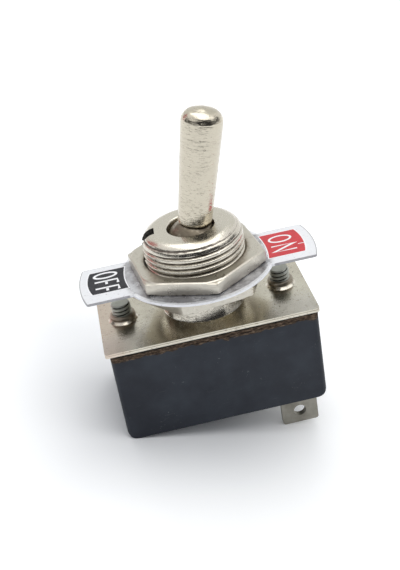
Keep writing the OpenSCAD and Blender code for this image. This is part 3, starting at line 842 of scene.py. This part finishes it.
def nut(name, node, turn):
    """A nut whose rings are (radius, height, inset from the outline or None)."""
    z0, z1 = low(node).z, high(node).z
    face_r = FLATS / 2 + 0.40
    trim = [(face_r + 0.65 * t, max(0.12, CONE_FALL * t + 0.03)) for t in (0.2, 0.5, 0.8, 1.0)]
    rings = [(NUT_BORE, z0 + 0.02, None), (NUT_BORE, z1 - 0.3, None), (SINK_TOP, z1, None)]
    rings += [(face_r, z1, INSET)] + [(r, z1 - drop, 0.0) for r, drop in trim]
    rings += [(BEYOND, z1 - CONE_FALL - 0.1, 0.0), (BEYOND, z0 + CONE_FALL + 0.1, 0.0)]
    rings += [(r, z0 + drop, 0.0) for r, drop in trim[::-1]]
    rings += [(face_r, z0, INSET), (SINK_FOOT, z0, None)]
    outline, points = hexagon(FLATS, CORNER, math.radians(turn)), []
    for spot in outline:
        reach, way = spot.length, spot.normalized()
        for r, z, inset in rings:
            r = r if inset is None else min(r, reach - inset)
            points.append((way.x * r, way.y * r, z))
    faces = ring_faces(len(outline), len(rings))
    piece = piece_from(name, points, faces, nut_nickel, "base", 24)
    soften(piece, CHAMFER, 28)
    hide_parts(node)
    return piece


upper_nut = nut("upper_hex_nut", "upper_nut", -22.3)
lower_nut = nut("lower_hex_nut", "lower_nut", 8.3)
print("nut faces:", len(upper_nut.data.polygons), len(lower_nut.data.polygons))

# %% [markdown]
# ## Case screws
# The screws are driven up from below, so only their cut ends show. Their
# steel is dull and greenish grey, with coarse turns for such a thin screw.
# Plain rings would do from afar, but they are spun like the bushing, with their
# own pitch, and the same helix puts the dirt and painted shade into their roots.

# %% Screws
SCREW_TONE, SCREW_DARK = (0.47, 0.48, 0.43), (0.06, 0.062, 0.052)
SHANK_R, HEAD_R, HEAD_T = 1.2, 2.1, 1.1
SLOT_R, SLOT_DEPTH = 1.9, 0.55
SCREW_PITCH, SCREW_GROOVE, SCREW_WIDTH = 0.5, 0.24, 0.42
MIDDLE = 0.0005  # the ends close to a point this far from the axis


def case_screw(name, node):
    base, top = low(node).z, high(node).z
    foot = PLATE_TOP + 0.3
    x = (low(node).x + high(node).x) / 2
    finish = threaded_nickel(
        name + "_steel", (x * MM, 0, 0), crest=SHANK_R * MM, pitch=SCREW_PITCH * MM, start=0.0,
        top=top * MM, bottom=PLATE_TOP * MM,
        tone=SCREW_TONE, dark=SCREW_DARK, rough=0.38, shade_and_dirt=1.0)
    profile = [(MIDDLE, base + SLOT_DEPTH), (SLOT_R, base + SLOT_DEPTH), (SLOT_R, base)]
    profile += [(HEAD_R - 0.1, base), (HEAD_R, base + 0.1), (HEAD_R, base + HEAD_T)]
    profile += [(SHANK_R, base + HEAD_T), (SHANK_R, foot)]
    profile += column(SHANK_R, top - 0.16, foot + 0.02, SCREW_PITCH)[::-1]
    profile += [(SHANK_R - 0.18, top), (MIDDLE, top)]
    rule = groove_rule(SHANK_R, SCREW_GROOVE, SCREW_PITCH, top, foot, SCREW_WIDTH)
    points, faces = lathe(profile, 64, rule)
    piece = piece_from(name, [(p[0] + x, p[1], p[2]) for p in points], faces, finish, "base", 40)
    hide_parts(node)
    return piece


for name, node in (("case_screw_left", "screw_left"), ("case_screw_right", "screw_right")):
    print(name, "faces:", len(case_screw(name, node).data.polygons))

# %% [markdown]
# ## The fibre gasket
# Punched fibre never has a clean edge: it frays and swells. Displacement by a
# texture would move its faces too, so the gasket is built as a flat frame
# whose outer wall alone is pushed by noise. It moves a tenth of a millimetre or
# so, mostly inward, and stays inside the solid's size.

# %% Gasket
CORNER_STEP, WALL_STEP = 15, 0.12
FRAY, TUCK, SINK = 0.09, 0.06, 0.05
HOLE_X, HOLE_Y = 0.60, 0.74
GASKET_FOOT = GASKET_TOP - GASKET_T


def rounded(length, width, corner, spacing):
    """Outline of a rectangle with rounded corners, evenly walked."""
    outline = []
    for sx, sy, first in ((1, 1, 0), (-1, 1, 90), (-1, -1, 180), (1, -1, 270)):
        hub_x, hub_y = sx * (length / 2 - corner), sy * (width / 2 - corner)
        for i in range(7):
            a = math.radians(first + CORNER_STEP * i)
            outline.append(Vector((hub_x + corner * math.cos(a), hub_y + corner * math.sin(a))))
    walked = []
    for i, spot in enumerate(outline):
        nxt = outline[(i + 1) % len(outline)]
        steps = max(1, round((nxt - spot).length / spacing))
        walked += [spot.lerp(nxt, k / steps) for k in range(steps)]
    return walked


size = high("gasket") - low("gasket")
edge = rounded(size.x - 0.06, size.y - 0.04, 0.5, WALL_STEP)
heights = [0.0, 0.12, 0.3, 0.45, 0.58, GASKET_T]
points = []
for spot in edge:
    way = spot.normalized()
    points.append((spot.x * HOLE_X, spot.y * HOLE_Y, GASKET_FOOT))
    for h in heights:
        push = noise.noise(Vector((spot.x * 1.9, spot.y * 1.9, h * 4.0))) * FRAY
        push = push - (TUCK if h in (0.0, GASKET_T) else 0.0) - SINK
        points.append((spot.x + way.x * push, spot.y + way.y * push, GASKET_FOOT + h))
    points.append((spot.x * HOLE_X, spot.y * HOLE_Y, GASKET_TOP))
faces = ring_faces(len(edge), len(heights) + 2)
gasket = piece_from("fibre_gasket", points, faces, fibre, "base", 60)
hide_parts("gasket")
print("gasket faces:", len(gasket.data.polygons))

# %% [markdown]
# ## Inks for the label
# Each tab carries one printed field, red for ON and black for OFF, with a
# thin white line round it and white letters. One flat colour would do for a
# drawing, but screen ink is never quite even, so each mixes two close tones.

# %% Inks
def ink_finish(name, gloss, first, second, rough):
    ink = Finish(name, Specular_IOR_Level=gloss)
    uneven = ink.cloud(1300.0, 4.0)
    ink.vary(Base_Color=ink.tint(ink.step(uneven, 0.3, 0.8), first, second),
             Roughness=rough + 0.1 * uneven)
    ink.relief(ink.cloud(2600.0), 0.006 * MM)
    return ink


red_ink = ink_finish("red_ink", 0.3, (0.60, 0.028, 0.040), (0.47, 0.030, 0.040), 0.35)
black_ink = ink_finish("black_ink", 0.25, (0.012, 0.012, 0.017), (0.038, 0.038, 0.046), 0.45)
white_ink = Finish("white_ink", Specular_IOR_Level=0.4, Roughness=0.5)
white_ink.vary(Base_Color=white_ink.tint(
    white_ink.cloud(1500.0, 3.0), (0.90, 0.90, 0.92), (0.80, 0.80, 0.83)))
print("inks ready")

# %% [markdown]
# ## The printed fields
# A field is a film of ink: its inner edge follows the nut, its outer edge
# follows the tab's curved end. An image would be the usual way to print it,
# but as a thin solid it stays sharp at any distance and needs no unwrapping.

# %% Fields
INK, RIM = 0.008, 0.14
BULGE_IN, BULGE_OUT = 0.28, 0.42


def film(name, outline, bottom, top, finish):
    """A thin flat film over an outline of (x, y) points."""
    n = len(outline)
    points = [(x, y, bottom) for x, y in outline] + [(x, y, top) for x, y in outline]
    faces = [tuple(range(n))[::-1], tuple(range(n, 2 * n))]
    faces += [(i, (i + 1) % n, (i + 1) % n + n, i + n) for i in range(n)]
    return piece_from(name, points, faces, finish, "base")


def field_outline(side, inner, outer, front, back, count=14):
    """A field between two curved ends; side is +1 for ON and -1 for OFF."""
    def end(x, bulge, t):
        return side * (x + bulge * (1 - (2 * t - 1) ** 2)), front + (back - front) * t

    steps = [i / count for i in range(count + 1)]
    edge = [end(outer, BULGE_OUT, t) for t in steps]
    edge += [end(inner, BULGE_IN, 1 - t) for t in steps]
    return edge if side > 0 else edge[::-1]


for name, side, inner, outer, front, back, finish in (
        ("on_field", 1, 8.25, 12.62, -2.62, 3.16, red_ink),
        ("off_field", -1, 8.55, 12.80, -2.20, 2.98, black_ink)):
    rim = field_outline(side, inner - RIM, outer + RIM, front - RIM, back + RIM)
    ink = field_outline(side, inner, outer, front, back)
    film(name + "_rim", rim, LABEL_TOP, LABEL_TOP + INK, white_ink)
    film(name, ink, LABEL_TOP, LABEL_TOP + 2 * INK, finish)
print("fields printed")

# %% [markdown]
# ## The letters
# ON and OFF read toward the front, a quarter turn from the tabs. Blender's
# text would bring a typeface; these are engraver's letters, strokes of one
# width. So each is a path, widened to both sides and given the ink's height.

# %% Letters
LINE, BOLD, CHIP = 0.27, 0.33, 0.12


def stroke(name, path, width, closed=False):
    """A printed line of one width along (x, y) points."""
    spots = [Vector(p) for p in path]
    half, left, right = width / 2, [], []
    n = len(spots)
    for i, spot in enumerate(spots):
        before = spots[i - 1] if i or closed else spot
        after = spots[(i + 1) % n] if i < n - 1 or closed else spot
        way = (after - before).normalized()
        side = Vector((-way.y, way.x))
        first = (spot - before).normalized() if spot != before else way
        mitre = half / max(0.35, abs(Vector((-first.y, first.x)).dot(side)))
        left.append(spot + side * mitre)
        right.append(spot - side * mitre)
    z0, z1 = LABEL_TOP + 2 * INK - 0.002, LABEL_TOP + 3 * INK
    points = [(p.x, p.y, z) for a, b in zip(left, right)
              for p, z in ((a, z0), (b, z0), (b, z1), (a, z1))]
    faces = []
    for i in range(n if closed else n - 1):
        a, b = 4 * i, 4 * ((i + 1) % n)
        faces += [(a + k, b + k, b + (k + 1) % 4, a + (k + 1) % 4) for k in range(4)]
    if not closed:
        faces += [(3, 2, 1, 0), tuple(4 * (n - 1) + k for k in range(4))]
    piece_from(name, points, faces, white_ink, "base")


def oval(x, y, rx, ry, count=40):
    turns = [2 * math.pi * i / count for i in range(count)]
    return [(x + rx * math.cos(a), y + ry * math.sin(a)) for a in turns]


stroke("on_o", oval(10.5, 1.52, 1.32, 0.75), LINE, True)
stroke("on_n", [(9.08, -0.12), (11.9, -0.12), (9.08, -1.55), (11.9, -1.55)], LINE)
stroke("on_chip", [(12.24, -0.66), (13.0, -0.64)], CHIP)
stroke("off_o", oval(-11.0, 1.86, 1.34, 0.60), BOLD, True)
for name, y in (("off_f", 0.52), ("off_f_two", -1.03)):
    stroke(name, [(-12.38, y - 0.02), (-9.62, y - 0.02), (-9.62, y - 0.90)], BOLD)
    stroke(name + "_bar", [(-10.98, y - 0.05), (-10.98, y - 0.82)], BOLD)
print("letters printed")

# %% [markdown]
# ## The floor under a tipped switch
# The switch lies on white paper, on the lower left edge of its housing and the
# ends of its terminals. The switch itself stays put, so the floor is tilted to
# touch both. The angle could be worked out from the drawing; halving a range
# of angles finds it from the real meshes, to a hair.

# %% Floor
HALVINGS, STEEPEST = 40, 0.6
FLOOR_SIDE, FLOOR_GAP = 3.0, 0.02 * MM


def sheet(name, width, height):
    """A flat rectangle round its own middle, in metres."""
    w, h = width / 2, height / 2
    mesh = bpy.data.meshes.new(name)
    mesh.from_pydata([(-w, -h, 0), (w, -h, 0), (w, h, 0), (-w, h, 0)], [], [(0, 1, 2, 3)])
    board = bpy.data.objects.new(name, mesh)
    scene.collection.objects.link(board)
    return board


def lowest(name, direction):
    """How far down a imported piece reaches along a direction, in metres."""
    return min(direction.dot(v.co) for v in nodes[name].data.vertices)


flat, steep = 0.0, STEEPEST
for _ in range(HALVINGS):
    tip_angle = (flat + steep) / 2
    normal = Vector((math.sin(tip_angle), 0, math.cos(tip_angle)))
    if lowest("terminal_front", normal) < lowest("housing", normal):
        flat = tip_angle
    else:
        steep = tip_angle
downhill = Vector((normal.z, 0, -normal.x))
heel = min((v.co for v in nodes["housing"].data.vertices), key=lambda co: normal.dot(co))
touch = normal * lowest("housing", normal) + downhill * heel.dot(downhill)
floor = sheet("floor", FLOOR_SIDE, FLOOR_SIDE)
floor.matrix_world = (Matrix.Translation(touch - normal * FLOOR_GAP)
                      @ normal.to_track_quat("Z", "Y").to_matrix().to_4x4())
print("floor tipped by", round(math.degrees(tip_angle), 1), "degrees")

# %% [markdown]
# ## White paper
# White paper in soft light renders as a light grey. More light would burn out
# the label, so the paper glows a little by itself, only for what the camera
# and the metal see. The glow stops under the switch, which keeps its contact
# shadow, and grows far away, where the lamps no longer reach.

# %% Paper
NEAR_GLOW, FAR_GLOW = (0.20, 0.20, 0.195), (0.90, 0.90, 0.90)
SHADE_X, SHADE_Y = (5 * MM, 12 * MM), (-2 * MM, 7 * MM)  # middle and half size of the shade

paper = Finish("paper", Roughness=0.7, Specular_IOR_Level=0.2, Base_Color=(0.86, 0.87, 0.89),
               Emission_Strength=1.0)
along_x = abs(paper.along((1, 0, 0)) - SHADE_X[0]) - SHADE_X[1]
along_y = abs(paper.along((0, 1, 0)) - SHADE_Y[0]) - SHADE_Y[1]
outside = along_x.larger(0.0) ** 2.0 + along_y.larger(0.0) ** 2.0
outside = paper.sum("SQRT", outside, 0.0)
glow = paper.tint(paper.step(outside, 0.22, 0.50), NEAR_GLOW, FAR_GLOW)
lit = paper.seen() * paper.step(outside, 0.0, 0.018)
paper.vary(Emission_Color=paper.tint(lit, (0, 0, 0), glow))
floor.data.materials.append(paper.material)
print("paper:", paper.material.name)

# %% [markdown]
# ## Lamps and cards
# A broad lamp overhead and two smaller ones give soft shadows at a plain
# level. Plated metal shows its surroundings more than its lamps, so cards
# stand round the switch, as on a product table: dark ones in front and at the
# sides draw the dark bands, a pale one behind fills the plate, and a red one
# stands for something red beside the table. An image of a room could do the
# same, but cards can be moved one by one. They cast no shadow and light no
# matt surface; only the shine of a surface sees them.

# %% Lamps and cards
HEART = Vector((0, 0, 0))


def aimed(place, axis):
    """A matrix that stands at a place and turns an axis to the switch."""
    turn = (HEART - Vector(place)).to_track_quat(axis, "Y")
    return Matrix.Translation(place) @ turn.to_matrix().to_4x4()


def lamp(name, place, width, height, watts, colour=(1, 1, 1), mirrored=True):
    light = bpy.data.lights.new(name, "AREA")
    light.shape, light.size, light.size_y = "RECTANGLE", width, height
    light.energy, light.color = watts, colour
    holder = bpy.data.objects.new(name, light)
    holder.matrix_world = aimed(place, "-Z")
    holder.visible_glossy = mirrored
    scene.collection.objects.link(holder)


def card(name, place, width, height, colour):
    board = sheet(name, width, height)
    board.matrix_world = aimed(place, "Z")
    paint = Finish(name + "_paint", Roughness=0.9, Specular_IOR_Level=0.0,
                   Base_Color=(0, 0, 0), Emission_Strength=1.0)
    first, second = (tuple(level * c for c in colour) for level in (0.94, 1.06))
    paint.vary(Emission_Color=paint.tint(paint.cloud(6.0, 2.0), first, second))
    board.data.materials.append(paint.material)
    board.visible_camera = board.visible_diffuse = board.visible_shadow = False


lamp("window", (0.07, 0.02, 0.46), 0.70, 0.44, 1.32, (1.0, 0.99, 0.97))
lamp("right_window", (0.40, -0.10, 0.24), 0.24, 0.30, 0.15)
lamp("back_window", (0.06, 0.42, 0.30), 0.40, 0.30, 0.60, mirrored=False)
card("front_card", (0.0, -0.32, 0.11), 0.84, 0.42, (0.035, 0.035, 0.038))
card("left_card", (-0.40, -0.06, 0.11), 0.52, 0.34, (0.09, 0.088, 0.085))
card("right_card", (0.41, -0.08, 0.11), 0.46, 0.20, (0.14, 0.14, 0.14))
card("back_card", (0.0, 0.50, 0.30), 0.9, 0.45, (0.84, 0.85, 0.83))
card("red_card", (-0.285, 0.266, 0.195), 0.13, 0.23, (0.52, 0.15, 0.15))
print("lamps:", len(bpy.data.lights))

# %% [markdown]
# ## The world
# What the camera, the metal and glass see past the paper is plain white. The
# light that the world gives to the switch is softer and slightly cool, so a
# colour renders about as it is written. A Mix Shader picks between the two.

# %% World
world = bpy.data.worlds.new("studio")
scene.world = world
world.use_nodes = True
sky = Graph(world.node_tree)
soft = sky.node("Background", values={"Color": (0.96, 0.98, 1.0), "Strength": 0.60})
white = sky.node("Background", values={"Color": (1, 1, 1), "Strength": 1.0})
mixed = sky.node("MixShader", values={0: sky.seen(), 1: soft, 2: white})
sky.node("OutputWorld", values={"Surface": mixed})
print("world:", world.name)
